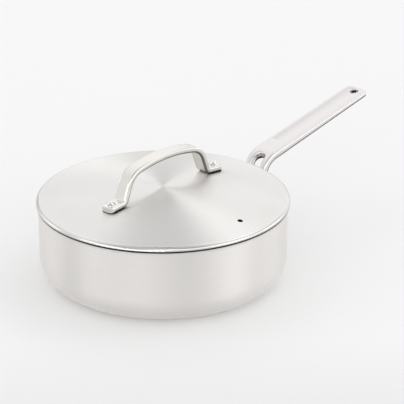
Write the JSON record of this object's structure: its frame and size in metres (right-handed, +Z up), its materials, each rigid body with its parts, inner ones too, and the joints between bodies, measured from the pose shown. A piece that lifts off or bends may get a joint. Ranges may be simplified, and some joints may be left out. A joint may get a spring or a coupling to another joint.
{
  "type": "saute pan with lid",
  "caption": "Straight-sided saute pan with a forked riveted long handle and a low domed lid that lifts off by an arched strap handle.",
  "frame": {"origin": "middle of the flat base, on the surface that the pan stands on", "axes": "+Z up out of the pan, +X along the long handle away from the pan, +Y to the left of the handle seen from above"},
  "size_m": [0.423, 0.2496, 0.1315],
  "materials": {
    "brushed_wall": "satin, brushed round the wall",
    "core": "bare",
    "brushed_inside": "satin, brushed in rings",
    "polished": "softly polished",
    "rivet": "polished",
    "brushed_lid": "satin, brushed in rings, polished edge",
    "ring": "satin"
  },
  "bodies": {
    "pan": {"pan_outer_skin": "brushed_wall", "pan_core": "core", "pan_inner_skin": "brushed_inside", "long_handle": "polished", "handle_rivet_left": "rivet", "handle_rivet_right": "rivet", "handle_rivet_lower": "rivet"},
    "lid": {"lid_shell": "brushed_lid", "lid_locating_ring": "ring", "lid_handle": "polished", "lid_rivet_near": "rivet", "lid_rivet_far": "rivet"}
  },
  "joints": [
    {"name": "lid_lift", "type": "slide", "parent": "pan", "child": "lid", "axis": [0, 0, 1], "range_m": [0, 0.12]}
  ]
}
